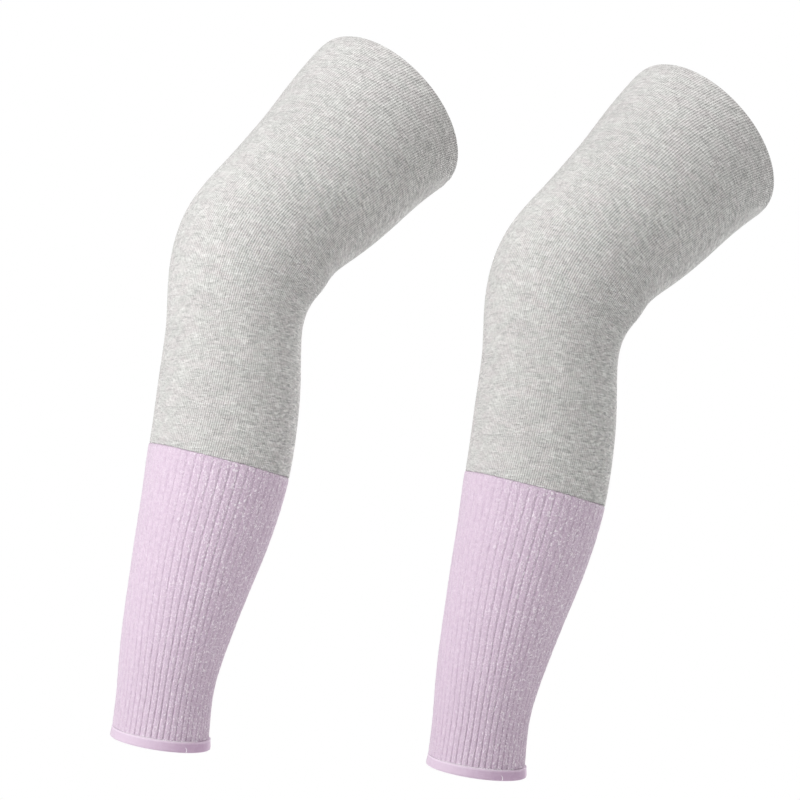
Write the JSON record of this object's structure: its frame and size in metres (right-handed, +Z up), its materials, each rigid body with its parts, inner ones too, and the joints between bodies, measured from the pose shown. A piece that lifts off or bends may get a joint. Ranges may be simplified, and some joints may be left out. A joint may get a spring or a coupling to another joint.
{
  "type": "pair of footless over-knee leg sleeves",
  "caption": "Pair of footless thermal leg sleeves, each a hollow tube filled out and bent at the knee, heather grey jersey above and lilac rib below, with a narrow hem band.",
  "frame": {"origin": "middle of the first sleeve's thigh opening, where the wearer's leg holds the sleeve up", "axes": "+Z up, +X to the viewer's right in the picture's view, +Y away from the viewer; the knees point to -X and a little to -Y, the thighs rise to +X and +Y"},
  "size_m": [0.5319, 0.2248, 0.5966],
  "materials": {
    "jersey": "soft heather grey jersey, matt, mottled along the courses",
    "rib": "soft lilac rib knit with a pale brushed nap",
    "band": "smooth lilac binding, matt"
  },
  "bodies": {
    "root": {"jersey_tube_a": "jersey", "rib_tube_a": "rib", "hem_band_a": "band", "jersey_tube_b": "jersey", "rib_tube_b": "rib", "hem_band_b": "band"}
  },
  "joints": []
}
